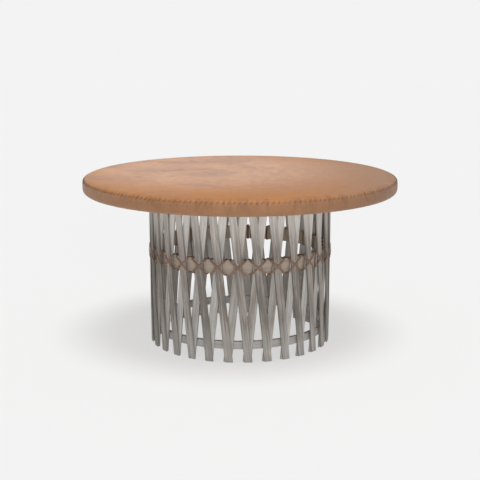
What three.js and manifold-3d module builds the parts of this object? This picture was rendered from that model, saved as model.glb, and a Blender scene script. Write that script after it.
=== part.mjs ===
// Round low table in the equipale manner: a lattice drum of split cedar slats tied to bent
// hoops, under a round board top whose rim and face are covered in pigskin.
// Millimetres, +Z up. The origin is on the floor at the middle of the drum, the front is -Y.
import * as THREE from 'three';
import { mergeVertices } from 'three/addons/utils/BufferGeometryUtils.js';
import Module from 'manifold-3d';

const wasm = await Module();
wasm.setup();

// Whole table
const tableHeight = 490;
const topDiameter = 915;
const drumDiameter = 534;
const fitGap = 0.3; // clearance between curved or turned neighbours
const cutOverrun = 5; // how far a cutter runs past the face that it opens

// Leather cover
const hideThickness = 2.4;
const bandThickness = 2.8;
const rimDepth = 44; // the whole edge, leather included
const seamGap = 0.8; // open seam between hide and band, closed by the lacing
const seamTurnShare = 0.62; // how far round the shoulder the hide comes down
const bandReturn = 22; // leather turned in under the rim

// Rim hoop that stiffens the board
const rimWall = 30;
const rimShoulderRadius = 15;
const rimToeRadius = 10;
const ledgeWidth = 13;

// Boards
const plankThickness = 20;
const plankCount = 5;
const tongueDepth = 8;
const tongueThickness = 6;

// Slats of the drum
const slatCount = 30; // in each of the two leaning families
const slatWidth = 24;
const slatThickness = 5;
const slatSteps = 4;
const crossingHeight = 280; // where the two slats of a pair cross and are pegged
const leanShare = 0.9; // sideways run of a slat from floor to board, as a share of the pitch
const frontPhaseShare = -0.1; // place of the front pair, as a share of the pitch

// Pegs through each pair
const pegDiameter = 5;
const pegProud = 1;
const pegDepth = 8; // how far a peg enters the middle hoop

// Hoops inside the drum
const hoopThickness = 14;
const hoopChamfer = 3;
const lowerHoopDepth = 22;
const lowerHoopFoot = 36;
const middleHoopDepth = 40;
const middleHoopDrop = 10; // its middle below the pegs
const upperHoopDepth = 40;

// Cross rails under the board
const railWidth = 46;
const railDepth = 20;
const xRailScrewShares = [-0.66, -0.22, 0.22, 0.66]; // of a rail's half length, clear of board joints
const yRailScrewShares = [-0.78, -0.38, 0.38, 0.78];

// Rail screws
const screwShank = 5;
const screwHead = 10;
const screwHeadDepth = 4;
const screwLength = 34;
const screwPoint = 5;

// Facets of the round forms
const rimSegments = 64;
const arcSteps = 3;
const hoopSegments = 2 * slatCount;
const pegSides = 6;
const screwSides = 8;

// Heights worked out from the sizes above
const boardTop = tableHeight - hideThickness - fitGap;
const drumHeight = boardTop - plankThickness;
const rimFoot = tableHeight - rimDepth + bandThickness + fitGap;

// Radii of the top, from the leather inwards
const rimRadius = topDiameter / 2 - bandThickness - fitGap;
const rimInnerRadius = rimRadius - rimWall;
const boardRadius = rimInnerRadius + ledgeWidth;
const plankPitch = (2 * boardRadius) / plankCount;

// Turns of the lattice
const pitchAngle = (2 * Math.PI) / slatCount;
const leanAngle = leanShare * pitchAngle;
const stepBow = Math.cos(leanAngle / slatSteps / 2);
const leanTilt = Math.atan((leanAngle * drumDiameter) / 2 / drumHeight);
const slatHalfRun = slatWidth / 2 / Math.cos(leanTilt);

// Radii of the drum, from the outside inwards
const outerFace = Math.sqrt((drumDiameter / 2) ** 2 - slatHalfRun ** 2);
const innerSeat = (outerFace - slatThickness) * stepBow - fitGap;
const innerFace = Math.sqrt(innerSeat ** 2 - slatHalfRun ** 2);
const hoopRadius = (innerFace - slatThickness) * stepBow - fitGap;
const hoopInnerRadius = hoopRadius - hoopThickness;
const railHalfLength = Math.sqrt(hoopRadius ** 2 - (railWidth / 2) ** 2);

const pigskin = new THREE.MeshStandardMaterial({ color: 0xc08a5f, roughness: 0.55, metalness: 0 });
const edgePigskin = new THREE.MeshStandardMaterial({ color: 0xa8683a, roughness: 0.5, metalness: 0 });
const pine = new THREE.MeshStandardMaterial({ color: 0xc7a878, roughness: 0.8, metalness: 0 });
const weatheredCedar = new THREE.MeshStandardMaterial({ color: 0x9a9186, roughness: 0.85, metalness: 0 });
const bentWood = new THREE.MeshStandardMaterial({ color: 0x6e5540, roughness: 0.8, metalness: 0 });
const zincSteel = new THREE.MeshStandardMaterial({ color: 0xa9a59a, roughness: 0.4, metalness: 0.9 });

const table = new THREE.Group();

function place(name, geometry, material, group = table) {
  const mesh = new THREE.Mesh(geometry, material);
  mesh.name = name;
  group.add(mesh);
  return mesh;
}

function bare(geometry) {
  geometry.deleteAttribute('normal');
  geometry.deleteAttribute('uv');
  return mergeVertices(geometry);
}

function toSolid(geometry) {
  const merged = bare(geometry);
  const vertProperties = new Float32Array(merged.attributes.position.array);
  const triVerts = new Uint32Array(merged.index.array);
  return new wasm.Manifold(new wasm.Mesh({ numProp: 3, vertProperties, triVerts }));
}

function toGeometry(solid) {
  const cut = solid.getMesh();
  const geometry = new THREE.BufferGeometry();
  geometry.setAttribute('position', new THREE.BufferAttribute(cut.vertProperties, cut.numProp));
  geometry.setIndex(new THREE.BufferAttribute(cut.triVerts, 1));
  return geometry;
}

// A closed outline of [radius, height] points turned round the table's axis
function turned(points, segments, startAngle = 0) {
  const outline = points.map(([radius, height]) => new THREE.Vector2(radius, height));
  return new THREE.LatheGeometry(outline, segments, startAngle).rotateX(Math.PI / 2);
}

// Points along an arc in the [radius, height] plane, angles from the outward direction
function arc(centreRadius, centreHeight, radius, from, to) {
  return Array.from({ length: arcSteps + 1 }, (_, step) => {
    const angle = from + ((to - from) * step) / arcSteps;
    return [centreRadius + radius * Math.cos(angle), centreHeight + radius * Math.sin(angle)];
  });
}

function block(width, depth, height, x, y, z) {
  return new THREE.BoxGeometry(width, depth, height).translate(x, y, z);
}

// An upright round bar from one height to another
function bar(radius, sides, x, y, from, to) {
  return new THREE.CylinderGeometry(radius, radius, to - from, sides)
    .rotateX(Math.PI / 2)
    .translate(x, y, (from + to) / 2);
}

// A round bar that points away from the axis, between two distances from it
function spoke(radius, height, from, to, angle) {
  return new THREE.CylinderGeometry(radius, radius, to - from, pegSides)
    .rotateZ(-Math.PI / 2)
    .translate((from + to) / 2, 0, height)
    .rotateZ(angle);
}

// Where the arcs of the rim are struck from
const shoulder = { radius: rimRadius - rimShoulderRadius, height: boardTop - rimShoulderRadius };
const toe = { radius: rimRadius - rimToeRadius, height: rimFoot + rimToeRadius };
const upright = Math.PI / 2;
const seamAngle = upright * (1 - seamTurnShare);

// Hide: a disc over the boards that comes down round the shoulder of the rim
function topHide() {
  const inner = rimShoulderRadius + fitGap;
  const outer = inner + hideThickness;
  const profile = [
    [0, boardTop + fitGap],
    ...arc(shoulder.radius, shoulder.height, inner, upright, seamAngle),
    ...arc(shoulder.radius, shoulder.height, outer, seamAngle, upright),
    [0, tableHeight],
  ];
  place('top_hide', bare(turned(profile, rimSegments)), pigskin);
}

// Band: one strip of leather round the edge, turned in under the rim
function edgeBand() {
  const shoulderInner = rimShoulderRadius + fitGap;
  const shoulderOuter = shoulderInner + bandThickness;
  const toeInner = rimToeRadius + fitGap;
  const toeOuter = toeInner + bandThickness;
  const bandTop = seamAngle - seamGap / shoulderOuter;
  const profile = [
    ...arc(toe.radius, toe.height, toeOuter, -upright, 0),
    ...arc(shoulder.radius, shoulder.height, shoulderOuter, 0, bandTop),
    ...arc(shoulder.radius, shoulder.height, shoulderInner, bandTop, 0),
    ...arc(toe.radius, toe.height, toeInner, 0, -upright),
    [rimRadius - bandReturn, rimFoot - fitGap],
    [rimRadius - bandReturn, rimFoot - fitGap - bandThickness],
  ];
  place('edge_band', bare(turned([...profile, profile[0]], rimSegments)), edgePigskin);
}

// Rim hoop: bent wood with a rebate that the boards are let into
function rimHoop() {
  const profile = [
    ...arc(toe.radius, toe.height, rimToeRadius, -upright, 0),
    ...arc(shoulder.radius, shoulder.height, rimShoulderRadius, 0, upright),
    [boardRadius + fitGap, boardTop],
    [boardRadius + fitGap, drumHeight],
    [rimInnerRadius, drumHeight],
    [rimInnerRadius, rimFoot],
  ];
  place('rim_hoop', bare(turned([...profile, profile[0]], rimSegments)), bentWood);
}

// Screws rise through the rails into the boards
const xRailScrews = xRailScrewShares.map((share) => [share * railHalfLength, 0]);
const yRailScrews = yRailScrewShares.map((share) => [0, share * railHalfLength]);
const screwPlaces = [...xRailScrews, ...yRailScrews];
const screwFoot = drumHeight - railDepth;

function pilotHoles(solid) {
  const holeTop = screwFoot + screwLength + fitGap;
  return screwPlaces.reduce((left, [x, y]) => {
    const hole = bar(screwShank / 2 + fitGap, screwSides, x, y, drumHeight - cutOverrun, holeTop);
    return left.subtract(toSolid(hole));
  }, solid);
}

// Boards: tongued and grooved, cut to one disc
function planks() {
  const disc = toSolid(
    new THREE.CylinderGeometry(boardRadius, boardRadius, plankThickness, rimSegments)
      .rotateX(Math.PI / 2)
      .translate(0, 0, drumHeight + plankThickness / 2),
  );
  const middle = drumHeight + plankThickness / 2;
  const length = 2 * (boardRadius + cutOverrun);
  for (let index = 0; index < plankCount; index += 1) {
    const left = -boardRadius + index * plankPitch;
    const width = plankPitch - fitGap;
    const centre = left + plankPitch / 2;
    let blank = toSolid(block(width, length, plankThickness + 2 * cutOverrun, centre, 0, middle));
    if (index > 0) {
      const grooveDepth = tongueDepth + fitGap;
      const grooveWidth = tongueThickness + 2 * fitGap;
      const mouth = left + fitGap / 2;
      const groove = block(grooveDepth + cutOverrun, length + 2 * cutOverrun, grooveWidth,
        mouth + (grooveDepth - cutOverrun) / 2, 0, middle);
      blank = blank.subtract(toSolid(groove));
    }
    if (index < plankCount - 1) {
      const root = left + plankPitch - fitGap / 2;
      const tongue = block(tongueDepth + cutOverrun, length, tongueThickness,
        root + (tongueDepth - cutOverrun) / 2, 0, middle);
      blank = blank.add(toSolid(tongue));
    }
    place(`plank_${index + 1}`, toGeometry(pilotHoles(blank.intersect(disc))), pine);
  }
}

// A bent hoop inside the drum, its inner edges chamfered, with a flat behind every peg
function hoopSolid(foot, depth) {
  const head = foot + depth;
  const firstCorner = frontPhaseShare * pitchAngle + Math.PI / hoopSegments;
  const profile = [
    [hoopInnerRadius + hoopChamfer, foot],
    [hoopRadius, foot],
    [hoopRadius, head],
    [hoopInnerRadius + hoopChamfer, head],
    [hoopInnerRadius, head - hoopChamfer],
    [hoopInnerRadius, foot + hoopChamfer],
  ];
  return toSolid(turned([...profile, profile[0]], hoopSegments, firstCorner));
}

function pairAngle(index) {
  return -upright + (index + frontPhaseShare) * pitchAngle;
}

function lowerHoop() {
  place('lower_hoop', toGeometry(hoopSolid(lowerHoopFoot, lowerHoopDepth)), bentWood);
}

// The middle hoop is bored for the pegs
function middleHoop() {
  const foot = crossingHeight - middleHoopDrop - middleHoopDepth / 2;
  let hoop = hoopSolid(foot, middleHoopDepth);
  for (let index = 0; index < slatCount; index += 1) {
    const bore = spoke(pegDiameter / 2 + fitGap, crossingHeight,
      hoopRadius - pegDepth - fitGap, hoopRadius + cutOverrun, pairAngle(index));
    hoop = hoop.subtract(toSolid(bore));
  }
  place('middle_hoop', toGeometry(hoop), bentWood);
}

// The upper hoop lies under the boards and is notched for the rails
function upperHoop() {
  const notchWidth = railWidth + 2 * fitGap;
  const notchDepth = railDepth + fitGap + cutOverrun;
  const notchMiddle = drumHeight + cutOverrun - notchDepth / 2;
  const span = drumDiameter;
  const hoop = hoopSolid(drumHeight - upperHoopDepth, upperHoopDepth)
    .subtract(toSolid(block(span, notchWidth, notchDepth, 0, 0, notchMiddle)))
    .subtract(toSolid(block(notchWidth, span, notchDepth, 0, 0, notchMiddle)));
  place('upper_hoop', toGeometry(hoop), bentWood);
}

// Rails: half-lapped where they cross, counterbored from below for the screw heads
function crossRail(name, width, length, places, lapHeight) {
  const lapWidth = railWidth + 2 * fitGap;
  const lapDepth = railDepth / 2 + fitGap / 2 + cutOverrun;
  let rail = toSolid(block(width, length, railDepth, 0, 0, drumHeight - railDepth / 2));
  rail = rail.subtract(toSolid(block(lapWidth, lapWidth, lapDepth, 0, 0, lapHeight)));
  for (const [x, y] of places) {
    const low = screwFoot - cutOverrun;
    const shankHole = bar(screwShank / 2 + fitGap, screwSides, x, y, low, drumHeight + cutOverrun);
    const headHole = bar(screwHead / 2 + fitGap, screwSides, x, y, low, screwFoot + screwHeadDepth);
    rail = rail.subtract(toSolid(shankHole)).subtract(toSolid(headHole));
  }
  place(name, toGeometry(rail), pine);
}

function crossRails() {
  const lapHalf = (railDepth / 2 + fitGap / 2 + cutOverrun) / 2;
  const upperLap = drumHeight + cutOverrun - lapHalf;
  const lowerLap = screwFoot - cutOverrun + lapHalf;
  crossRail('cross_rail_x', 2 * railHalfLength, railWidth, xRailScrews, lowerLap);
  crossRail('cross_rail_y', railWidth, 2 * railHalfLength, yRailScrews, upperLap);
}

function railScrews() {
  const tip = screwFoot + screwLength;
  const neck = screwFoot + screwHeadDepth - fitGap;
  const profile = [
    [0, screwFoot],
    [screwHead / 2, screwFoot],
    [screwHead / 2, neck],
    [screwShank / 2, neck],
    [screwShank / 2, tip - screwPoint],
    [0, tip],
  ];
  screwPlaces.forEach(([x, y], index) => {
    const screw = place(`rail_screw_${index + 1}`, bare(turned(profile, screwSides)), zincSteel);
    screw.position.set(x, y, 0);
  });
}

// A flat slat that leans round the drum, as horizontal slices square to the radius.
// Its turn is nought at the crossing height and it is cut level at floor and board.
function slatGeometry(face, lean) {
  const corners = [
    [face - slatThickness, -slatHalfRun],
    [face, -slatHalfRun],
    [face, slatHalfRun],
    [face - slatThickness, slatHalfRun],
  ];
  const points = [];
  const triangles = [];
  for (let step = 0; step <= slatSteps; step += 1) {
    const height = (drumHeight * step) / slatSteps;
    const angle = (lean * (height - crossingHeight)) / drumHeight;
    for (const [out, along] of corners) {
      points.push(out * Math.cos(angle) - along * Math.sin(angle));
      points.push(out * Math.sin(angle) + along * Math.cos(angle));
      points.push(height);
    }
  }
  const sides = corners.length;
  for (let step = 0; step < slatSteps; step += 1) {
    for (let side = 0; side < sides; side += 1) {
      const low = step * sides + side;
      const next = step * sides + ((side + 1) % sides);
      triangles.push(low, next, next + sides, low, next + sides, low + sides);
    }
  }
  const head = slatSteps * sides;
  triangles.push(0, 2, 1, 0, 3, 2, head, head + 1, head + 2, head, head + 2, head + 3);
  const geometry = new THREE.BufferGeometry();
  geometry.setAttribute('position', new THREE.Float32BufferAttribute(points, 3));
  geometry.setIndex(triangles);
  return geometry;
}

// Pairs: an outer and an inner slat held at their crossing by a peg driven into the hoop
function slatPairs() {
  const outer = toSolid(slatGeometry(outerFace, -leanAngle));
  const inner = toSolid(slatGeometry(innerFace, leanAngle));
  const peg = spoke(pegDiameter / 2, crossingHeight, hoopRadius - pegDepth, outerFace + pegProud, 0);
  const pair = toGeometry(outer.add(toSolid(peg)).add(inner));
  const lattice = new THREE.Group();
  table.add(lattice);
  for (let index = 0; index < slatCount; index += 1) {
    const name = `slat_pair_${String(index + 1).padStart(2, '0')}`;
    place(name, pair, weatheredCedar, lattice).rotation.z = pairAngle(index);
  }
}

topHide();
edgeBand();
rimHoop();
planks();
upperHoop();
middleHoop();
lowerHoop();
crossRails();
railScrews();
slatPairs();

export default table;
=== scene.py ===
import math
import random

import bmesh
import bpy
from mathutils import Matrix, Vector, noise


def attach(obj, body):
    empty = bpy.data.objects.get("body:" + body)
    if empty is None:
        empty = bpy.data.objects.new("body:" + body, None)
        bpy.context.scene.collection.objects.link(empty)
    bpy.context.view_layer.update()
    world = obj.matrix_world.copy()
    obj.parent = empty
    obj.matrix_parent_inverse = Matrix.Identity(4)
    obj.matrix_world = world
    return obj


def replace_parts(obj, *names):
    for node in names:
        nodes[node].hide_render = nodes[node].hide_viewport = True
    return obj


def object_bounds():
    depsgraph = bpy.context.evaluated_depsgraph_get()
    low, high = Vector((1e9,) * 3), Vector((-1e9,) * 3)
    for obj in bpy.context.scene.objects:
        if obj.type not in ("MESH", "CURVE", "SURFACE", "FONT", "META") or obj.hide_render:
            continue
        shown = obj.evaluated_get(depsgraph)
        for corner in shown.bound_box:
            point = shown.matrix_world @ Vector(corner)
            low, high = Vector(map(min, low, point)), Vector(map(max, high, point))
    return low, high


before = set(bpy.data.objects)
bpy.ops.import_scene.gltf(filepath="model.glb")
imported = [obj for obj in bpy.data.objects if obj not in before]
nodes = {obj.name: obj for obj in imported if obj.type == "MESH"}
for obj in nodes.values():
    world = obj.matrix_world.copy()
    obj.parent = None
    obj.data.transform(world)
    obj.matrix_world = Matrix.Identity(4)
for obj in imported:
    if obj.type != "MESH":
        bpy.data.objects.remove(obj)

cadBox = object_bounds()
millimetre = 0.001
metre = 1000  # in mm, a pattern's scale is this over its real size
fullTurn = 2 * math.pi
quarterTurn = math.pi / 2
sharpFrom = 42  # degrees, an edge sharper than this isn't smoothed


def lift(hexColor):
    # sRGB hex to the linear colour that the shaders want
    channels = [int(hexColor[i:i + 2], 16) / 255 for i in (1, 3, 5)]
    linear = [c / 12.92 if c <= 0.04045 else ((c + 0.055) / 1.055) ** 2.4 for c in channels]
    return (*linear, 1.0)


def addNode(tree, kind, settings=None):
    # a socket as value makes a link, a name that is no input sets a property
    node = tree.nodes.new(kind)
    for name, value in (settings or {}).items():
        if isinstance(name, str) and name not in node.inputs:
            setattr(node, name, value)
        elif isinstance(value, bpy.types.NodeSocket):
            tree.links.new(value, node.inputs[name])
        else:
            node.inputs[name].default_value = value
    return node


def newMaterial(name):
    material = bpy.data.materials.new(name)
    material.use_nodes = True
    material.node_tree.nodes.clear()
    return material, material.node_tree


def setRamp(node, places, colors):
    ramp = node.color_ramp
    ramp.elements.remove(ramp.elements[-1])
    for index, (place, color) in enumerate(zip(places, colors)):
        stop = ramp.elements[0] if index == 0 else ramp.elements.new(place)
        stop.position = place
        stop.color = lift(color)
    return node.outputs["Color"]


def wave(x, y, z=0.0):
    # smooth noise between -1 and 1
    return noise.noise(Vector((x, y, z)))


def waveRound(angle, scale, z=0.0):
    # the same on a circle, so that it closes on itself
    return wave(math.cos(angle) * scale, math.sin(angle) * scale, z)


def toShare(value):
    # from -1 to 1 becomes from 0 to 1
    return 0.5 + 0.5 * value


def polar(radius, angle, height):
    return (radius * math.cos(angle), radius * math.sin(angle), height)


def skin(rings, closed=False):
    # faces between neighbouring rings of points, an open run of rings capped at both ends
    count = len(rings[0])
    faces = []
    for row in range(len(rings) if closed else len(rings) - 1):
        here, there = row * count, (row + 1) % len(rings) * count
        for k in range(count):
            n = (k + 1) % count
            faces.append((here + k, here + n, there + n, there + k))
    if not closed:
        faces.append(tuple(reversed(range(count))))
        faces.append(tuple(range((len(rings) - 1) * count, len(rings) * count)))
    return {"points": [point for ring in rings for point in ring], "faces": faces}


def joined(shells):
    whole = {"points": [], "faces": [], "grain": [], "tone": [], "freshAndLit": []}
    for shell in shells:
        start = len(whole["points"])
        whole["points"] += shell["points"]
        whole["faces"] += [[start + corner for corner in face] for face in shell["faces"]]
        for kind in ("grain", "tone", "freshAndLit"):
            whole[kind] += shell.get(kind, [])
    return whole


def turned(shell, angle):
    c, s = math.cos(angle), math.sin(angle)
    return {**shell, "points": [(x * c - y * s, x * s + y * c, z) for x, y, z in shell["points"]]}


def newPiece(name, shell, material):
    # points in millimetres; "grain" holds metres across and along the wood, "tone" its shade
    # and "freshAndLit" how far it is painted paler: painted light, on split hoop sides also
    # unweathered wood
    mesh = bpy.data.meshes.new(name)
    points = [[c * millimetre for c in point] for point in shell["points"]]
    mesh.from_pydata(points, [], shell["faces"])
    if shell.get("grain"):
        layer = mesh.uv_layers.new(name="grain")
        for loop in mesh.loops:
            layer.data[loop.index].uv = shell["grain"][loop.vertex_index]
    for kind in ("tone", "freshAndLit"):
        if shell.get(kind):
            attribute = mesh.attributes.new(kind, "FLOAT", "POINT")
            attribute.data.foreach_set("value", shell[kind])
    work = bmesh.new()
    work.from_mesh(mesh)
    bmesh.ops.recalc_face_normals(work, faces=work.faces)
    work.to_mesh(mesh)
    work.free()
    mesh.shade_smooth()
    mesh.set_sharp_from_angle(angle=math.radians(sharpFrom))
    piece = bpy.data.objects.new(name, mesh)
    bpy.context.scene.collection.objects.link(piece)
    mesh.materials.append(material)
    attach(piece, "root")
    return piece


def paintNode(name, material):
    node = nodes[name]
    node.data.materials.clear()
    node.data.materials.append(material)


# Vegetable-tanned pigskin, drawn over the boards damp and left to dry: tan, mottled by the
# tannage, with follicles in groups of three and a low waxed sheen
pigskin = {
    "name": "vegetable_tanned_pigskin",
    "dark": "#9a6746",
    "tan": "#ba8865",
    "pale": "#c89d7f",
    "places": (0.34, 0.5, 0.68),  # of these three on the ramp
    "cloudSize": 130,  # mm, clouds of the tannage
    "creaseSize": 22,  # mm, the creased mottle within them
    "creaseShare": 0.35,
    "tannedFrom": 0.38,
    "tannedTo": 0.62,
    "tannedDark": (0.88, 0.83, 0.75),  # shade of the thirstiest and the tightest leather
    "tannedPale": (1.07, 1.07, 1.07),
    "patinaAndShade": "#a86e36",  # darker towards the rim, partly a patina of hands and wax and partly painted shade
    "patinaAndShadeCentre": (-110, 120),  # mm, the paler middle lies a little off the axis, to the left and back: a painted pool of light
    "patinaAndShadeFrom": 200,
    "patinaAndShadeTo": 560,
    "patinaAndShadeStray": 160,  # mm, how far the clouds move its edge
    "rubbed": 0.2,  # the darkened rim is rubbed duller than the waxed middle
    "sideShade": "#886f5f",  # painted shade: the hide is painted browner and darker towards the right
    "sideShadeFrom": 120,  # mm along x
    "sideShadeTo": 430,
    "sideShadeStray": 300,
    "sideShadeShare": 0.6,
    "foldFrom": 632,  # mm from the origin of the table, at the floor on its axis
    "foldTo": 668,
    "foldsRound": 11,  # cells of the noise to a radius, 42 mm each at the rim
    "foldLength": 111.11,  # mm along the radius
    "foldWidth": 0.06,
    "foldShade": 0.22,
    "foldDepth": 1.2,
    "groupSpacing": 8.0,  # mm, real groups lie 2 to 3 mm apart, drawn coarser so that they show
    "follicles": [(0, 0, 0), (2.3, 0.4, 0.2), (0.8, 2.2, 0.2)],  # mm, places in a group
    "pitFrom": 0.04,  # of the spacing
    "pitTo": 0.15,
    "pitShade": 0.32,
    "cellSize": 4.0,  # mm, cells of the grain, coarser than the real ones too
    "cellHeight": 0.7,  # against the depth of a pit
    "creaseHeight": 1.4,
    "grainDepth": 0.6,
    "roughness": 0.41,
    "waxed": 0.06,  # how much smoother and duller the clouds make it
    "dull": 0.1,
    "ior": 1.5,
}


def makeFolds(tree, coords, look):
    # short folds that run out towards the rim, where the hide is gathered, 0 in a fold
    level = addNode(tree, "ShaderNodeVectorMath", {
        "operation": "MULTIPLY", 0: coords, 1: (1, 1, 0)}).outputs["Vector"]
    spokes = addNode(tree, "ShaderNodeVectorMath", {
        "operation": "NORMALIZE", 0: level}).outputs["Vector"]
    reach = addNode(tree, "ShaderNodeVectorMath", {
        "operation": "LENGTH", 0: coords}).outputs["Value"]
    lengths = addNode(tree, "ShaderNodeMath", {
        "operation": "MULTIPLY", 0: reach, 1: metre / look["foldLength"]}).outputs[0]
    ends = addNode(tree, "ShaderNodeCombineXYZ", {"Z": lengths}).outputs[0]
    place = addNode(tree, "ShaderNodeVectorMath", {
        "operation": "MULTIPLY_ADD", 0: spokes, 1: (look["foldsRound"],) * 3, 2: ends})
    ripple = addNode(tree, "ShaderNodeTexNoise", {
        "Vector": place.outputs["Vector"], "Scale": 1.0, "Detail": 3.0, "Roughness": 0.6})
    centred = addNode(tree, "ShaderNodeMath", {
        "operation": "SUBTRACT", 0: ripple.outputs[0], 1: 0.5})
    ridge = addNode(tree, "ShaderNodeMath", {"operation": "ABSOLUTE", 0: centred.outputs[0]})
    fold = addNode(tree, "ShaderNodeMapRange", {
        "Value": ridge.outputs[0], "From Max": look["foldWidth"]})
    near = addNode(tree, "ShaderNodeMapRange", {
        "interpolation_type": "SMOOTHSTEP", "Value": reach,
        "From Min": look["foldFrom"] * millimetre, "From Max": look["foldTo"] * millimetre})
    return addNode(tree, "ShaderNodeMix", {
        "data_type": "FLOAT", "Factor": near.outputs[0], 2: 1.0,
        3: fold.outputs[0]}).outputs[0]


def makeFollicles(tree, coords, look):
    # small pits, 0 in a pit and 1 between them
    nearest = None
    for place in look["follicles"]:
        moved = addNode(tree, "ShaderNodeVectorMath", {
            "operation": "ADD", 0: coords, 1: tuple(c * millimetre for c in place)})
        pit = addNode(tree, "ShaderNodeTexVoronoi", {
            "Vector": moved.outputs["Vector"], "Scale": metre / look["groupSpacing"],
            "Randomness": 0.9}).outputs["Distance"]
        nearest = pit if nearest is None else addNode(tree, "ShaderNodeMath", {
            "operation": "MINIMUM", 0: nearest, 1: pit}).outputs[0]
    return addNode(tree, "ShaderNodeMapRange", {
        "Value": nearest, "From Min": look["pitFrom"], "From Max": look["pitTo"]}).outputs[0]


def markShare(tree, look, mark, distance, clouds):
    # 0 where a darkened patch starts and 1 where it is full, its edge moved in and out by the
    # clouds
    stray = look[mark + "Stray"]
    moved = addNode(tree, "ShaderNodeMath", {
        "operation": "MULTIPLY_ADD", 0: clouds, 1: stray * millimetre, 2: distance})
    return addNode(tree, "ShaderNodeMapRange", {
        "interpolation_type": "SMOOTHSTEP", "Value": moved.outputs[0],
        "From Min": (look[mark + "From"] + stray / 2) * millimetre,
        "From Max": (look[mark + "To"] + stray / 2) * millimetre,
        "To Max": look.get(mark + "Share", 1.0)}).outputs[0]


def makeLeather(look):
    material, tree = newMaterial(look["name"])
    coords = addNode(tree, "ShaderNodeTexCoord").outputs["Object"]
    clouds = addNode(tree, "ShaderNodeTexNoise", {
        "Vector": coords, "Scale": metre / look["cloudSize"], "Detail": 5.0, "Roughness": 0.6,
        "Distortion": 0.6}).outputs[0]
    creases = addNode(tree, "ShaderNodeTexNoise", {
        "Vector": coords, "Scale": metre / look["creaseSize"], "Detail": 7.0,
        "Roughness": 0.7}).outputs[0]
    tannage = addNode(tree, "ShaderNodeMix", {
        "data_type": "FLOAT", "Factor": look["creaseShare"], 2: clouds, 3: creases}).outputs[0]
    tan = setRamp(addNode(tree, "ShaderNodeValToRGB", {"Fac": tannage}), look["places"],
                  (look["dark"], look["tan"], look["pale"]))
    # patina with painted shade towards the rim, and painted shade on one side
    centreX, centreY = look["patinaAndShadeCentre"]
    fromCentre = addNode(tree, "ShaderNodeVectorMath", {
        "operation": "MULTIPLY_ADD", 0: coords, 1: (1, 1, 0),
        2: (-centreX * millimetre, -centreY * millimetre, 0)}).outputs["Vector"]
    away = addNode(tree, "ShaderNodeVectorMath", {
        "operation": "LENGTH", 0: fromCentre}).outputs["Value"]
    # patina and painted shade: darker towards the rim, round a painted pool of light
    darkenedRim = markShare(tree, look, "patinaAndShade", away, clouds)
    tan = addNode(tree, "ShaderNodeMix", {
        "data_type": "RGBA", "Factor": darkenedRim, 6: tan, 7: lift(look["patinaAndShade"])}).outputs[2]
    # painted shade on the right side of the hide
    along = addNode(tree, "ShaderNodeSeparateXYZ", {"Vector": coords}).outputs["X"]
    shadedSide = markShare(tree, look, "sideShade", along, clouds)
    tan = addNode(tree, "ShaderNodeMix", {
        "data_type": "RGBA", "Factor": shadedSide, 6: tan, 7: lift(look["sideShade"])}).outputs[2]
    # the tannage's own shades, then painted shade in the folds and in the follicle pits
    mottle = addNode(tree, "ShaderNodeMapRange", {
        "data_type": "FLOAT_VECTOR", 6: tannage, 7: (look["tannedFrom"],) * 3,
        8: (look["tannedTo"],) * 3, 9: look["tannedDark"], 10: look["tannedPale"]})
    folds = makeFolds(tree, coords, look)
    pits = makeFollicles(tree, coords, look)
    for share, shade in ((1.0, mottle.outputs["Vector"]), (look["foldShade"], folds),
                         (look["pitShade"], pits)):
        tan = addNode(tree, "ShaderNodeMix", {
            "data_type": "RGBA", "blend_type": "MULTIPLY", "Factor": share, 6: tan,
            7: shade}).outputs[2]
    # relief
    cells = addNode(tree, "ShaderNodeTexVoronoi", {
        "feature": "DISTANCE_TO_EDGE", "Vector": coords, "Scale": metre / look["cellSize"],
        "Randomness": 1.0})
    relief = addNode(tree, "ShaderNodeMath", {
        "operation": "MULTIPLY_ADD", 0: creases, 1: look["creaseHeight"], 2: pits})
    relief = addNode(tree, "ShaderNodeMath", {
        "operation": "MULTIPLY_ADD", 0: cells.outputs["Distance"], 1: look["cellHeight"],
        2: relief.outputs[0]})
    drawn = addNode(tree, "ShaderNodeBump", {
        "Height": folds, "Strength": 0.5, "Distance": look["foldDepth"] * millimetre})
    bump = addNode(tree, "ShaderNodeBump", {
        "Height": relief.outputs[0], "Strength": 0.35,
        "Distance": look["grainDepth"] * millimetre, "Normal": drawn.outputs[0]})
    sheen = addNode(tree, "ShaderNodeMapRange", {
        "Value": clouds, "From Min": 0.3, "From Max": 0.7,
        "To Min": look["roughness"] - look["waxed"],
        "To Max": look["roughness"] + look["dull"]})
    sheen = addNode(tree, "ShaderNodeMath", {
        "operation": "MULTIPLY_ADD", 0: darkenedRim, 1: look["rubbed"], 2: sheen.outputs[0]})
    shader = addNode(tree, "ShaderNodeBsdfPrincipled", {
        "Base Color": tan, "Roughness": sheen.outputs[0], "IOR": look["ior"],
        "Normal": bump.outputs[0]})
    addNode(tree, "ShaderNodeOutputMaterial", {"Surface": shader.outputs[0]})
    return material


# The band is the same pigskin painted browner and darker, partly handled more and partly painted
# shade on the rim, and duller all over
bandLook = {
    **pigskin,
    "name": "pigskin_edge_handled_and_shaded",
    "dark": "#7f5f43",
    "tan": "#9c7552",
    "pale": "#ab8560",
    "cloudSize": 90,
    "patinaAndShade": "#996e4d",
    "rubbed": 0,
    "sideShade": "#7d5b43",
    "roughness": 0.5,
}
# Cowhide cut into thongs: dark brown and dull, without the painted shade on one side
thongLook = {
    **pigskin,
    "name": "cowhide_thong",
    "dark": "#624b3b",
    "tan": "#7d6250",
    "pale": "#90735e",
    "cloudSize": 40,
    "patinaAndShade": "#7d6250",
    "rubbed": 0,
    "sideShadeShare": 0,
    "roughness": 0.55,
}
pigskinTop = makeLeather(pigskin)
pigskinEdge = makeLeather(bandLook)
leatherThong = makeLeather(thongLook)
print("leathers made")

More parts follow.
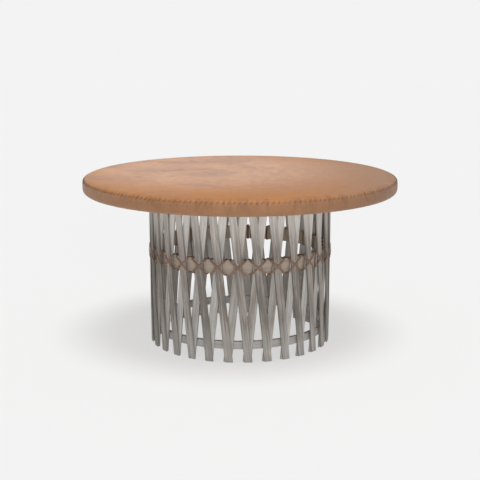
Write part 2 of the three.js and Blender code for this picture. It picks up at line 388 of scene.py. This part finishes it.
# Split cedar left to weather: silver grey over brown, riven along the grain, matt
cedar = {
    "name": "weathered_split_cedar",
    "dark": "#756f69",  # checks and old dirt
    "brown": "#978f88",
    "grey": "#a6a29e",
    "pale": "#bebbb7",
    "places": (0.24, 0.4, 0.55, 0.78),
    "freshAndLitDark": "#d0ccc7",
    "freshAndLit": "#edebe8",  # near white: painted light, and on split hoop sides also unweathered wood
    "freshAndLitPlaces": (0.25, 0.6),
    "streakWidth": 5.0,  # mm, growth rings are near 1.5 mm, drawn coarser so that they show
    "streakLength": 160,
    "fibres": 3.7,  # fibres side by side in a streak
    "fibreShare": 0.5,
    "cloudSize": 111.11,  # mm, clouds of the weathering
    "cloudShare": 0.4,
    "splitDepth": 1.2,
    "roughness": 0.82,
}
# Willow bent green with its bark on: browner than the slats, with finer streaks and less dull
willowBark = {
    **cedar,
    "name": "bent_willow_with_bark",
    "dark": "#6b5d50",
    "brown": "#847568",
    "grey": "#998a7c",
    "pale": "#b0a294",
    "freshAndLitDark": "#a8937f",
    "freshAndLit": "#cfc0b0",
    "streakWidth": 4.0,
    "streakLength": 220,
    "roughness": 0.7,
}


def makeSplitWood(look):
    material, tree = newMaterial(look["name"])
    place = addNode(tree, "ShaderNodeUVMap", {"uv_map": "grain"}).outputs[0]
    stretched = addNode(tree, "ShaderNodeMapping", {
        "Vector": place,
        "Scale": (metre / look["streakWidth"], metre / look["streakLength"], 1)}).outputs[0]
    streaks = addNode(tree, "ShaderNodeTexNoise", {
        "Vector": stretched, "Scale": 1.0, "Detail": 4.0, "Roughness": 0.62, "Distortion": 0.3})
    fibres = addNode(tree, "ShaderNodeTexNoise", {
        "Vector": stretched, "Scale": look["fibres"], "Detail": 3.0, "Roughness": 0.5})
    clouds = addNode(tree, "ShaderNodeTexNoise", {
        "Vector": place, "Scale": metre / look["cloudSize"], "Detail": 3.0})
    tone = addNode(tree, "ShaderNodeAttribute", {"attribute_name": "tone"}).outputs["Fac"]
    level = addNode(tree, "ShaderNodeMath", {
        "operation": "ADD", 0: streaks.outputs[0], 1: tone})
    level = addNode(tree, "ShaderNodeMath", {
        "operation": "MULTIPLY_ADD", 0: fibres.outputs[0], 1: look["fibreShare"],
        2: level.outputs[0]})
    level = addNode(tree, "ShaderNodeMath", {
        "operation": "MULTIPLY_ADD", 0: clouds.outputs[0], 1: look["cloudShare"],
        2: level.outputs[0]}).outputs[0]
    weathered = setRamp(addNode(tree, "ShaderNodeValToRGB", {"Fac": level}), look["places"],
                        (look["dark"], look["brown"], look["grey"], look["pale"]))
    # a paler copy of the wood: painted light, and on split hoop sides unweathered wood
    unweatheredAndLit = setRamp(addNode(tree, "ShaderNodeValToRGB", {"Fac": level}),
                          look["freshAndLitPlaces"], (look["freshAndLitDark"], look["freshAndLit"]))
    freshAndLit = addNode(tree, "ShaderNodeAttribute", {"attribute_name": "freshAndLit"}).outputs["Fac"]
    color = addNode(tree, "ShaderNodeMix", {
        "data_type": "RGBA", "Factor": freshAndLit, 6: weathered, 7: unweatheredAndLit}).outputs[2]
    relief = addNode(tree, "ShaderNodeMath", {
        "operation": "MULTIPLY_ADD", 0: fibres.outputs[0], 1: look["fibreShare"],
        2: streaks.outputs[0]})
    bump = addNode(tree, "ShaderNodeBump", {
        "Height": relief.outputs[0], "Strength": 0.6,
        "Distance": look["splitDepth"] * millimetre})
    shader = addNode(tree, "ShaderNodeBsdfPrincipled", {
        "Base Color": color, "Roughness": look["roughness"], "Normal": bump.outputs[0]})
    addNode(tree, "ShaderNodeOutputMaterial", {"Surface": shader.outputs[0]})
    return material


splitCedar = makeSplitWood(cedar)
bentBrown = makeSplitWood(willowBark)

# Pine boards, sawn and left bare: yellowish with long rings, seen from below
sawnPine = {
    "name": "sawn_pine",
    "light": "#c9ab7d",
    "dark": "#a9865a",
    "places": (0.35, 0.65),
    "ring": 9.0,  # mm, growth rings
    "stretch": (1.0, 0.06, 1.0),  # the rings run along y
    "cut": 0,  # m along the log, no two kinds of board alike
    "ringDepth": 0.8,
    "roughness": 0.75,
}
redderPine = {
    **sawnPine,
    "name": "sawn_pine_near_heart",
    "light": "#bd9a6e",
    "dark": "#9a764c",
    "cut": 1,
}
palerPine = {
    **sawnPine,
    "name": "sawn_pine_sapwood",
    "light": "#d2b78c",
    "dark": "#b49369",
    "cut": 2,
}
# Willow, peeled and bent green, then darkened with age: dull brown, its grain long round the
# bend, seen through the slats and from below
peeledWillow = {
    **sawnPine,
    "name": "bent_willow",
    "light": "#8a7460",
    "dark": "#67543f",
    "ring": 7.0,
    "stretch": (0.15, 0.15, 1.0),
    "roughness": 0.78,
}


def makeSawnWood(look):
    material, tree = newMaterial(look["name"])
    coords = addNode(tree, "ShaderNodeTexCoord").outputs["Object"]
    stretched = addNode(tree, "ShaderNodeMapping", {
        "Vector": coords, "Scale": look["stretch"], "Location": (0, look["cut"], 0)})
    rings = addNode(tree, "ShaderNodeTexNoise", {
        "Vector": stretched.outputs[0], "Scale": metre / look["ring"], "Detail": 4.0,
        "Roughness": 0.6, "Distortion": 0.8}).outputs[0]
    color = setRamp(addNode(tree, "ShaderNodeValToRGB", {"Fac": rings}), look["places"],
                    (look["dark"], look["light"]))
    bump = addNode(tree, "ShaderNodeBump", {
        "Height": rings, "Strength": 0.3, "Distance": look["ringDepth"] * millimetre})
    shader = addNode(tree, "ShaderNodeBsdfPrincipled", {
        "Base Color": color, "Roughness": look["roughness"], "Normal": bump.outputs[0]})
    addNode(tree, "ShaderNodeOutputMaterial", {"Surface": shader.outputs[0]})
    return material


pines = [makeSawnWood(look) for look in (sawnPine, redderPine, palerPine)]
willow = makeSawnWood(peeledWillow)
print("woods made")

# Zinc plated steel of the screws and tacks: light grey, clouded between bright and dull
zincPlate = {
    "name": "zinc_plated_steel",
    "color": "#b9b6ac",
    "cloudSize": 3.0,  # mm
    "bright": 0.3,  # roughness
    "dull": 0.5,
}


def makeZinc(look):
    material, tree = newMaterial(look["name"])
    coords = addNode(tree, "ShaderNodeTexCoord").outputs["Object"]
    cloud = addNode(tree, "ShaderNodeTexNoise", {
        "Vector": coords, "Scale": metre / look["cloudSize"], "Detail": 2.0})
    rough = addNode(tree, "ShaderNodeMapRange", {
        "Value": cloud.outputs[0], "To Min": look["bright"], "To Max": look["dull"]})
    shader = addNode(tree, "ShaderNodeBsdfPrincipled", {
        "Base Color": lift(look["color"]), "Metallic": 1.0, "Roughness": rough.outputs[0]})
    addNode(tree, "ShaderNodeOutputMaterial", {"Surface": shader.outputs[0]})
    return material


zinc = makeZinc(zincPlate)

for name in nodes:
    if name.startswith("plank"):
        paintNode(name, pines[int(name[-1]) * 2 % len(pines)])  # neighbours differ
    elif name.startswith("cross_rail"):
        paintNode(name, pines[0])
    elif name.startswith("rail_screw"):
        paintNode(name, zinc)
    elif name.endswith("hoop"):
        paintNode(name, willow)
print("frame painted")

# Top: the hide over the boards and the band round the edge meet in a laced seam on the
# shoulder of the rim. Millimetres, from the frame.
top = {
    "height": 490,
    "radius": 457.5,
    "boardTop": 487.3,
    "rimFoot": 449.1,
    "gap": 0.3,
    "hide": 2.4,
    "band": 2.8,
    "shoulder": 15,
    "toe": 10,
    "return": 22,
    "seamAngle": math.radians(34.2),
    "seamGap": 0.8,
    "seamRadius": 18,  # from the middle of the shoulder's arc
    "segments": 400,
    "arcSteps": 8,
    "spread": [1, 60, 130, 200, 260, 310, 350, 380, 400, 415, 425, 432],  # rings of the face
    "sway": 0.5,  # how far the stretched leather dips between its high places
    "swaySize": 90,
    "swayRow": 3.1,  # of the noise
    "swayRound": 9,  # places of the noise to a radius, for the band
    "swayUp": 18,
    "calmTo": 120,  # the sway grows from the middle of the face to here
    "shoulderSway": 0.3,
    "thinnest": 0.8,  # the hide is nowhere thinner
    "pucker": 0.55,  # how far the edges are drawn in at each stitch
    "puckerReach": 9,
    "flatReturn": 8,  # of the band, flat before it rounds the toe
}
stitch = {
    "count": 200,
    "width": 3.6,
    "thickness": 1.0,
    "from": math.radians(20.5),
    "to": math.radians(50),
    "slant": 0.34,  # of the spacing
    "sunk": 0.9,
    "endWidth": 0.75,  # shares left at the ends
    "endThickness": 0.25,
    "steps": 8,
    "section": [(-1, 0), (-1, 0.72), (-0.6, 1), (0.6, 1), (1, 0.72), (1, 0)],
}
rimRadius = top["radius"] - top["band"] - top["gap"]
shoulderCentre = (rimRadius - top["shoulder"], top["boardTop"] - top["shoulder"])
toeCentre = (rimRadius - top["toe"], top["rimFoot"] + top["toe"])


def arcPoint(centre, radius, angle):
    return (centre[0] + radius * math.cos(angle), centre[1] + radius * math.sin(angle))


def arcPoints(centre, radius, start, end):
    steps = top["arcSteps"]
    return [arcPoint(centre, radius, start + (end - start) * i / steps)
            for i in range(steps + 1)]


seamPoint = arcPoint(shoulderCentre, top["seamRadius"], top["seamAngle"])


def laceDip(radius, angle, height):
    # how far a stitch draws the leather in at this place
    away = math.hypot(radius - seamPoint[0], height - seamPoint[1])
    near = max(0.0, 1 - away / top["puckerReach"])
    return top["pucker"] * near * near * toShare(math.cos(angle * stitch["count"]))


def hidePoint(radius, angle, height):
    # a place on the hide's outside, dipped between its high places and at the stitches
    x, y, _ = polar(radius, angle, height)
    dip = laceDip(radius, angle, height)
    size = top["swaySize"]
    sway = top["sway"] * toShare(wave(x / size, y / size, top["swayRow"]))
    if radius <= shoulderCentre[0]:
        sink = sway * min(1, radius / top["calmTo"]) + dip
        return (x, y, height - min(sink, top["hide"] - top["thinnest"]))
    outer = top["shoulder"] + top["gap"] + top["hide"]
    inwards = dip * (radius - shoulderCentre[0]) / outer
    downwards = dip * (height - shoulderCentre[1]) / outer + sway * top["shoulderSway"]
    return polar(radius - inwards, angle, height - downwards)


def makeHide():
    inner = top["shoulder"] + top["gap"]
    outer = inner + top["hide"]
    outside = [(radius, top["height"]) for radius in top["spread"]]
    outside += arcPoints(shoulderCentre, outer, quarterTurn, top["seamAngle"])
    inside = arcPoints(shoulderCentre, inner, top["seamAngle"], quarterTurn)
    inside += [(radius, top["boardTop"] + top["gap"]) for radius in reversed(top["spread"])]
    angles = [fullTurn * k / top["segments"] for k in range(top["segments"])]
    rings = [[hidePoint(radius, angle, height) for angle in angles]
             for radius, height in outside]
    rings += [[polar(radius, angle, height) for angle in angles] for radius, height in inside]
    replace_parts(newPiece("hide_cover", skin(rings), pigskinTop), "top_hide")


def makeBand():
    shoulderInner = top["shoulder"] + top["gap"]
    shoulderOuter = shoulderInner + top["band"]
    toeInner = top["toe"] + top["gap"]
    bandTop = top["seamAngle"] - top["seamGap"] / shoulderOuter
    edge = rimRadius - top["return"]
    below = top["rimFoot"] - top["gap"]
    outside = [(edge, below - top["band"]), (edge + top["flatReturn"], below - top["band"])]
    outside += arcPoints(toeCentre, toeInner + top["band"], -quarterTurn, 0)
    outside += arcPoints(shoulderCentre, shoulderOuter, 0, bandTop)
    inside = arcPoints(shoulderCentre, shoulderInner, bandTop, 0)
    inside += arcPoints(toeCentre, toeInner, 0, -quarterTurn) + [(edge, below)]
    swayFrom = 4  # the points before this one lie under the rim
    rings = []
    for index, (radius, height) in enumerate(outside + inside):
        ring = []
        for k in range(top["segments"]):
            angle = fullTurn * k / top["segments"]
            dip = laceDip(radius, angle, height) if index < len(outside) else 0
            if swayFrom <= index < len(outside):
                dip += top["sway"] * toShare(
                    waveRound(angle, top["swayRound"], height / top["swayUp"]))
            ring.append(polar(radius - dip, angle, height))
        rings.append(ring)
    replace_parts(newPiece("edge_cover", skin(rings, True), pigskinEdge), "edge_band")


def stitchShell():
    # one whip stitch: a flat thong over the seam, its ends sunk in its holes
    bed = top["shoulder"] + top["gap"] + top["band"] - stitch["sunk"]
    endWidth, endThickness = stitch["endWidth"], stitch["endThickness"]
    rings = []
    for i in range(stitch["steps"] + 1):
        share = i / stitch["steps"]
        turn = stitch["from"] + (stitch["to"] - stitch["from"]) * share
        arch = math.sin(math.pi * share) ** 0.5
        thickness = stitch["sunk"] + stitch["thickness"] * (
            endThickness + (1 - endThickness) * arch)
        lean = (share - 0.5) * stitch["slant"] * fullTurn / stitch["count"]
        half = stitch["width"] / 2 / rimRadius * (endWidth + (1 - endWidth) * arch)
        ring = []
        for side, level in stitch["section"]:
            out, up = arcPoint(shoulderCentre, bed + thickness * level, turn)
            ring.append(polar(out, lean + side * half, up))
        rings.append(ring)
    return skin(rings)


def makeLacing():
    one = stitchShell()
    shells = [turned(one, fullTurn * index / stitch["count"]) for index in range(stitch["count"])]
    newPiece("rim_lacing", joined(shells), leatherThong)


tack = {
    "count": 64,
    "radius": 4,
    "rise": 1.6,
    "inset": 13,  # from the rim
    "sunk": 0.2,
    "sides": 14,
    "levels": (0, 0.3, 0.6, 0.85, 0.98),  # rings of the dome, as shares of its rise
}


def makeTacks():
    # domed tacks through the leather that is turned in under the rim
    root = top["rimFoot"] - top["gap"] - top["band"] + tack["sunk"]
    shells = []
    for index in range(tack["count"]):
        x, y, _ = polar(rimRadius - tack["inset"], fullTurn * (index + 0.5) / tack["count"], 0)
        rings = []
        for share in tack["levels"]:
            radius = tack["radius"] * math.sqrt(1 - share * share)
            height = root - (tack["rise"] + tack["sunk"]) * share
            rings.append([(x + radius * math.cos(fullTurn * k / tack["sides"]),
                           y + radius * math.sin(fullTurn * k / tack["sides"]),
                           height) for k in range(tack["sides"])])
        shells.append(skin(rings))
    newPiece("rim_tacks", joined(shells), zinc)


makeHide()
makeBand()
makeLacing()
makeTacks()
print("top covered")

# Drum: sixty riven slats in thirty crossing pairs. The sizes are the frame's, and the riven
# slats vary inside them. Millimetres.
drum = {
    "height": 467.3,
    "radius": 267,
    "pairs": 30,
    "width": 24,
    "thickness": 5,
    "gap": 0.3,
    "crossing": 280,
    "leanShare": 0.9,
    "frontPhase": -0.1,
    "sections": 4,
    "steps": 24,
    "dice": 31,  # start of the random draws
    "narrowest": 0.94,  # shares of the full width
    "widest": 0.985,
    "thinnest": 0.84,  # share of the full thickness, and how much it varies
    "thinSpread": 0.12,
    "outerShare": 0.35,  # of the missing thickness that is missing outside
    "widthWander": 0.045,
    "widthPeriod": 130,
    "waver": 0.9,  # sideways wander of a slat's middle line
    "waverPeriod": 210,
    "noiseRows": (1.7, 9.3),  # of the wander and the waver
    "groove": 0.45,
    "grooves": 4.2,  # across half a slat
    "groovePeriod": 150,
    "grooveRow": 3.3,  # a row of the noise for each slat
    "worn": 1.2,  # rounding of the feet
    "wornWidth": 0.9,
    "wornThickness": 0.8,
    "grainStep": (40, 700),  # places in the grain, apart for each slat
    "innerGrain": 110,
    "outerShade": -0.57,  # the outer slats have weathered more
    "innerShade": -0.37,
    "shadeSpread": 0.22,
    "paintedLightInside": 1.0,  # painted light: the inner faces are painted paler, and so are the heads under the top
    "paintedLightHead": 1.0,
    "paintedLightFrom": 300,
    "headFade": 1.2,
    "paintedLightFeet": 0.4,  # painted light: the feet are painted paler towards the floor
    "paintedLightFeetTo": 110,
    "feetLightFade": 0.7,
    "soiled": 0.03,  # old dirt between the feet and the hoop
    "darkEdges": 0.28,  # the riven edges hold more dirt than the faces
    "edgeFrom": 0.9,
}
# the head of the peg that holds a pair: distance from the slat's face and radius
peg = {
    "profile": [(-6, 2.3), (0.1, 2.4), (0.7, 2.1), (0.95, 1.2)],
    "sides": 10,
    "shade": -0.5,
}
pitch = fullTurn / drum["pairs"]
lean = drum["leanShare"] * pitch
bow = math.cos(lean / drum["sections"] / 2)
slope = lean * drum["radius"] / drum["height"]
halfRun = drum["width"] / 2 * math.hypot(1, slope)
outerFace = math.sqrt(drum["radius"] ** 2 - halfRun ** 2)
innerSeat = (outerFace - drum["thickness"]) * bow - drum["gap"]
innerFace = math.sqrt(innerSeat ** 2 - halfRun ** 2)
hoopRadius = (innerFace - drum["thickness"]) * bow - drum["gap"]
# across and deep places round a slat, as shares of its half width and thickness
outerOutline = [(-1, 0.55), (-0.97, 0.86)]
outerOutline += [(across, 1) for across in (-0.88, -0.72, -0.52, -0.32, -0.12, 0.08, 0.28, 0.48,
                                            0.68, 0.88)]
innerOutline = [(0.97, 0.86), (1, 0.55), (0.98, 0.14)]
innerOutline += [(across, 0) for across in (0.86, 0.55, 0.2, -0.2, -0.55, -0.86)]
slatOutline = outerOutline + innerOutline + [(-0.98, 0.14)]


def pairAngle(index):
    return -quarterTurn + (index + drum["frontPhase"]) * pitch


# how much the wood is painted paler at this height: painted light on the heads under the top and
# on the feet
def paintedLightAt(height):
    # how little the wood has weathered at this height
    head = max(0, height - drum["paintedLightFrom"]) / (drum["height"] - drum["paintedLightFrom"])
    foot = max(0, 1 - height / drum["paintedLightFeetTo"])
    return (drum["paintedLightHead"] * head ** drum["headFade"]
            + drum["paintedLightFeet"] * foot ** drum["feetLightFade"])


def slatShell(face, turn, shade, seed, dice):
    wide = drum["narrowest"] + (drum["widest"] - drum["narrowest"]) * dice.random()
    thin = drum["thinnest"] + drum["thinSpread"] * dice.random()
    base = shade + drum["shadeSpread"] * (dice.random() - 0.5)
    missing = (1 - thin) * drum["thickness"]
    heights = [0, drum["worn"]]
    heights += [drum["height"] * i / drum["steps"] for i in range(1, drum["steps"])]
    heights.append(drum["height"] - drum["gap"])
    rings, grain, tone, freshAndLit = [], [], [], []
    for height in heights:
        wander = wave(height / drum["widthPeriod"], seed, drum["noiseRows"][0])
        half = halfRun * min(wide * (1 + drum["widthWander"] * wander), drum["widest"])
        drift = drum["waver"] * wave(height / drum["waverPeriod"], seed, drum["noiseRows"][1])
        drift = max(half - halfRun, min(halfRun - half, drift))
        angle = turn * (height - drum["crossing"]) / drum["height"]
        dirt = drum["soiled"] * math.sin(math.pi * min(1, height / drum["crossing"])) ** 2
        pale = paintedLightAt(height)
        ring = []
        for across, deep in slatOutline:
            side = across * half
            cut = drum["groove"] * toShare(wave(
                across * drum["grooves"], height / drum["groovePeriod"],
                seed * drum["grooveRow"]))
            if deep == 1:
                out = face - drum["outerShare"] * missing - cut
            elif deep == 0:
                out = face - drum["thickness"] + (1 - drum["outerShare"]) * missing + cut
            else:
                out = face - drum["thickness"] * (1 - thin * deep) + missing / 2
            if height == 0:
                middle = face - drum["thickness"] / 2
                side *= drum["wornWidth"]
                out = middle + (out - middle) * drum["wornThickness"]
            side += drift
            c, s = math.cos(angle), math.sin(angle)
            ring.append((out * c - side * s, out * s + side * c, height))
            inwards = drum["innerGrain"] if deep < 0.5 else 0
            grain.append(((side + drum["grainStep"][0] * seed + inwards) * millimetre,
                          (height + drum["grainStep"][1] * seed) * millimetre))
            edge = drum["darkEdges"] if abs(across) > drum["edgeFrom"] else 0
            tone.append(base - dirt - edge)
            # painted light on the inner faces, the heads and the feet
            freshAndLit.append(max(pale, drum["paintedLightInside"]) if deep == 0 else pale)
        rings.append(ring)
    return {**skin(rings), "grain": grain, "tone": tone, "freshAndLit": freshAndLit}


def pegShell(seed):
    sides = peg["sides"]
    rings = [[(outerFace + reach, radius * math.cos(fullTurn * k / sides),
               drum["crossing"] + radius * math.sin(fullTurn * k / sides))
              for k in range(sides)] for reach, radius in peg["profile"]]
    shell = skin(rings)
    count = len(shell["points"])
    grain = [(y * millimetre, z * millimetre + seed) for _, y, z in shell["points"]]
    return {**shell, "grain": grain, "tone": [peg["shade"]] * count, "freshAndLit": [0] * count}


def makeSlats():
    dice = random.Random(drum["dice"])
    for index in range(drum["pairs"]):
        shells = [slatShell(outerFace, -lean, drum["outerShade"], index * 2 + 1, dice),
                  slatShell(innerFace, lean, drum["innerShade"], index * 2 + 2, dice),
                  pegShell(index)]
        name = f"slat_pair_{index + 1:02d}"
        piece = newPiece(f"riven_{name}", turned(joined(shells), pairAngle(index)),
                         splitCedar)
        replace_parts(piece, name)


makeSlats()
print("slats split")

# Hoops inside the slats: split rods bent green, the middle one with its bark on outside
hoops = {"middle_hoop": (250, 40, -0.2), "lower_hoop": (36, 22, -0.24)}  # foot, depth, shade
hoopForm = {
    "thickness": 14,
    "inset": 0.4,  # it stays this far inside the frame's hoop
    "chamfer": 3,
    "corner": 1,  # of the outside
    "cornerShare": 0.3,  # how far the chamfers bulge
    "segments": 180,
    "waver": 0.25,
    "waves": 3,
    "shadeWaver": 0.05,
    "shadeWaves": 2,
    "grainTurn": 0.7,  # how far the grain turns with the section
    "cutFreshAndLit": 0.9,  # every side but the outside was split open and is painted paler: partly unweathered wood, partly painted light inside the drum
}


def makeHoops():
    outside = hoopRadius - hoopForm["inset"]
    inside = hoopRadius - hoopForm["thickness"]
    corner, cut = hoopForm["corner"], hoopForm["chamfer"]
    bulge = cut * hoopForm["cornerShare"]
    for name, (foot, depth, shade) in hoops.items():
        head = foot + depth
        middle = foot + depth / 2
        outerSide = [(inside + cut, foot), (outside - corner, foot), (outside, foot + corner),
                     (outside, middle), (outside, head - corner), (outside - corner, head),
                     (inside + cut, head)]
        innerSide = [(inside + bulge, head - bulge), (inside, head - cut), (inside, middle),
                     (inside, foot + cut), (inside + bulge, foot + bulge)]
        # rings run round the hoop, each one a section of it, so that the grain follows the bend
        rings, grain, tone, freshAndLit = [], [], [], []
        for k in range(hoopForm["segments"]):
            angle = fullTurn * k / hoopForm["segments"]
            thin = 2 * hoopForm["waver"] * toShare(waveRound(angle, hoopForm["waves"], foot))
            darker = hoopForm["shadeWaver"] * waveRound(angle, hoopForm["shadeWaves"], foot)
            ring = [polar(radius - thin, angle, height) for radius, height in outerSide]
            ring += [polar(radius, angle, height) for radius, height in innerSide]
            rings.append(ring)
            for index, (radius, height) in enumerate(outerSide + innerSide):
                grain.append(((height + radius * hoopForm["grainTurn"]) * millimetre,
                              angle * hoopRadius * millimetre))
                tone.append(shade + darker)
                freshAndLit.append(0 if 0 < index < len(outerSide) - 1 else hoopForm["cutFreshAndLit"])
        shell = {**skin(rings, True), "grain": grain, "tone": tone, "freshAndLit": freshAndLit}
        look = bentBrown if name == "middle_hoop" else splitCedar
        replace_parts(newPiece(f"bent_{name}", shell, look), name)


makeHoops()

# Leather ties: a thong crosses over each pair and goes round behind the hoop
tie = {
    "width": 5.5,
    "thickness": 1.3,
    "section": [(-0.5, 0.0), (-0.5, 0.6), (-0.36, 1.0), (0.36, 1.0), (0.5, 0.6), (0.5, 0.0)],
    "reach": 20,  # from the middle of the pair to where it turns in
    "gap": 0.35,
    "slack": 0.2,
    "steps": 8,  # of a run across the pair
    "humps": {1: (0.9, 4), -1: (1.35, 5)},  # height and width, over the peg and over both
    "dip": 1.6,  # at the ends of a run, towards the hoop
    "dipFrom": 0.75,
    "runStart": 2,  # a run starts this far inside the hoop's edge
    "turnIn": 3.4,  # depth at which it turns over that edge
    "over": 4,  # its place on the edge, outwards of the middle
    "corner": 1.5,
    "cornerDrop": 3,
}


def strapShell(path, normals):
    # a flat strap along a closed path
    rings = []
    count = len(path)
    for i in range(count):
        here, before, after = (Vector(path[k % count]) for k in (i, i - 1, i + 1))
        along = (after - before).normalized()
        up = Vector(normals[i])
        up = (up - along * up.dot(along)).normalized()
        side = along.cross(up)
        rings.append([tuple(here + side * (a * tie["width"]) + up * (b * tie["thickness"]))
                      for a, b in tie["section"]])
    return skin(rings, True)


def tieShell(foot, head, back):
    # in the frame of a pair: x away from the axis, y along the hoop, z up
    front = outerFace + tie["gap"]
    low, high = foot - tie["gap"] - tie["slack"], head + tie["gap"] + tie["slack"]
    over = (front + back) / 2 + tie["over"]
    climb = high - low - 2 * tie["runStart"]
    path, normals = [], []
    for side, (rise, width) in tie["humps"].items():
        for i in range(tie["steps"] + 1):
            share = i / tie["steps"]
            y = side * tie["reach"] * (2 * share - 1)
            hump = rise * math.exp(-(y / width) ** 2)
            dip = tie["dip"] * max(0, abs(y) / tie["reach"] - tie["dipFrom"]) / (
                1 - tie["dipFrom"])
            path.append((front + hump - dip, y, low + tie["runStart"] + climb * share))
            normals.append((1, 0, 0))
        # over the hoop, down behind it and back under it
        around = [(front - tie["turnIn"], high, 0.6, 0.8),
                  (over, high + tie["slack"], 0, 1),
                  (back + tie["corner"], high, -0.3, 1),
                  (back, high - tie["cornerDrop"], -1, 0.2),
                  (back, (low + high) / 2, -1, 0),
                  (back, low + tie["cornerDrop"], -1, -0.2),
                  (back + tie["corner"], low, -0.3, -1),
                  (over, low - tie["slack"], 0, -1),
                  (front - tie["turnIn"], low, 0.6, -0.8)]
        path += [(x, side * tie["reach"], z) for x, z, _, _ in around]
        normals += [(nx, 0, nz) for _, _, nx, nz in around]
    return strapShell(path, normals)


def makeTies():
    back = hoopRadius - hoopForm["thickness"] - tie["gap"]
    foot, depth, _ = hoops["middle_hoop"]
    one = tieShell(foot, foot + depth, back)
    shells = [turned(one, pairAngle(index)) for index in range(drum["pairs"])]
    newPiece("middle_ties", joined(shells), leatherThong)


makeTies()
print("hoops tied")

# Studio: a pale floor that keeps the shadow, a soft light above and a low one in front, light
# from all round, and the camera at the photograph's angle
studio = {
    "ground": "#f3f3f3",
    "floorRadius": 14.0,
    "floorCorners": 64,
    "floorShadowShare": 0.33,  # how much of the floor's light can be shaded
    "domeStrength": 0.26,
    "wallStrength": 0.62,  # light panels stand round the table, brighter than the ceiling
    "wallTop": 0.5,  # sine of the height at which they end
    # soft boxes as wide suns: strength, spread, turn from the front and height in degrees
    "softBoxes": {"overhead": (2.2, 28, 17, 79), "front_fill": (1.15, 30, 7, 8)},
    "unmirrored": ["front_fill"],  # so low that the top would mirror it towards the back view
}
lens = {
    "distance": 3.2025,
    "elevation": 12.54,
    "focalPixels": 1076.6,
    "frame": 480,
    "targetPixel": (239.98, 256.2),
    "sensor": 36,
    "clipEnd": 60,
}


def seenDirectly(tree):
    # 1 for rays of the camera, also by way of a mirror or through glass, 0 for light on things
    path = addNode(tree, "ShaderNodeLightPath")
    seen = addNode(tree, "ShaderNodeMath", {
        "operation": "MAXIMUM", 0: path.outputs["Is Camera Ray"],
        1: path.outputs["Is Glossy Ray"]})
    return addNode(tree, "ShaderNodeMath", {
        "operation": "MAXIMUM", 0: seen.outputs[0],
        1: path.outputs["Is Transmission Ray"]}).outputs[0]


def makeFloor():
    mesh = bpy.data.meshes.new("studio_floor")
    count = studio["floorCorners"]
    corners = [polar(studio["floorRadius"], fullTurn * i / count, 0) for i in range(count)]
    mesh.from_pydata(corners, [], [list(range(count))])
    floor = bpy.data.objects.new("studio_floor", mesh)
    bpy.context.scene.collection.objects.link(floor)
    material, tree = newMaterial("studio_floor")
    ground = lift(studio["ground"])
    share = studio["floorShadowShare"]
    shaded = addNode(tree, "ShaderNodeBsdfDiffuse", {
        "Color": (*[c * share for c in ground[:3]], 1)})
    # light on a level floor: the dome, the panels that fade from the horizon to their top, and
    # the soft boxes
    light = studio["domeStrength"]
    light += (studio["wallStrength"] - studio["domeStrength"]) * studio["wallTop"] ** 2 / 3
    for strength, _, _, height in studio["softBoxes"].values():
        light += strength * math.sin(math.radians(height)) / math.pi
    glow = addNode(tree, "ShaderNodeEmission", {"Color": ground, "Strength": 1 - share * light})
    shown = addNode(tree, "ShaderNodeAddShader", {0: shaded.outputs[0], 1: glow.outputs[0]})
    bounce = addNode(tree, "ShaderNodeBsdfDiffuse", {"Color": ground})
    mixed = addNode(tree, "ShaderNodeMixShader", {
        0: seenDirectly(tree), 1: bounce.outputs[0], 2: shown.outputs[0]})
    addNode(tree, "ShaderNodeOutputMaterial", {"Surface": mixed.outputs[0]})
    mesh.materials.append(material)


def makeWorld():
    world = bpy.data.worlds.new("studio_world")
    bpy.context.scene.world = world
    world.use_nodes = True
    tree = world.node_tree
    tree.nodes.clear()
    coords = addNode(tree, "ShaderNodeTexCoord").outputs["Generated"]
    above = addNode(tree, "ShaderNodeSeparateXYZ", {"Vector": coords}).outputs["Z"]
    level = addNode(tree, "ShaderNodeMapRange", {
        "Value": above, "From Min": 0.0, "From Max": studio["wallTop"],
        "To Min": studio["wallStrength"], "To Max": studio["domeStrength"]})
    dome = addNode(tree, "ShaderNodeBackground", {
        "Color": (1, 1, 1, 1), "Strength": level.outputs[0]})
    ground = addNode(tree, "ShaderNodeBackground", {
        "Color": lift(studio["ground"]), "Strength": 1.0})
    mixed = addNode(tree, "ShaderNodeMixShader", {
        0: seenDirectly(tree), 1: dome.outputs[0], 2: ground.outputs[0]})
    addNode(tree, "ShaderNodeOutputWorld", {"Surface": mixed.outputs[0]})


def makeSoftBoxes():
    for name, (strength, spread, turn, height) in studio["softBoxes"].items():
        lamp = bpy.data.lights.new(name, "SUN")
        lamp.energy = strength
        lamp.angle = math.radians(spread)
        box = bpy.data.objects.new(name, lamp)
        box.visible_glossy = name not in studio["unmirrored"]
        bpy.context.scene.collection.objects.link(box)
        turn, height = math.radians(turn), math.radians(height)
        towards = Vector((math.sin(turn) * math.cos(height), -math.cos(turn) * math.cos(height),
                          math.sin(height)))
        box.rotation_euler = towards.to_track_quat("Z", "Y").to_euler()


def makeCamera():
    data = bpy.data.cameras.new("camera")
    camera = bpy.data.objects.new("camera", data)
    bpy.context.scene.collection.objects.link(camera)
    data.sensor_width = lens["sensor"]
    data.lens = lens["focalPixels"] / lens["frame"] * data.sensor_width
    data.shift_y = (lens["targetPixel"][1] - lens["frame"] / 2) / lens["frame"]
    data.shift_x = (lens["frame"] / 2 - lens["targetPixel"][0]) / lens["frame"]
    data.clip_end = lens["clipEnd"]
    middle = Vector((0, 0, (cadBox[0][2] + cadBox[1][2]) / 2))
    rise = math.radians(lens["elevation"])
    back = Vector((0, -math.cos(rise), math.sin(rise)))
    camera.location = middle + back * lens["distance"]
    camera.rotation_euler = back.to_track_quat("Z", "Y").to_euler()
    bpy.context.scene.camera = camera


makeFloor()
makeWorld()
makeSoftBoxes()
makeCamera()
bpy.context.scene.view_settings.view_transform = "Standard"
print("studio made")
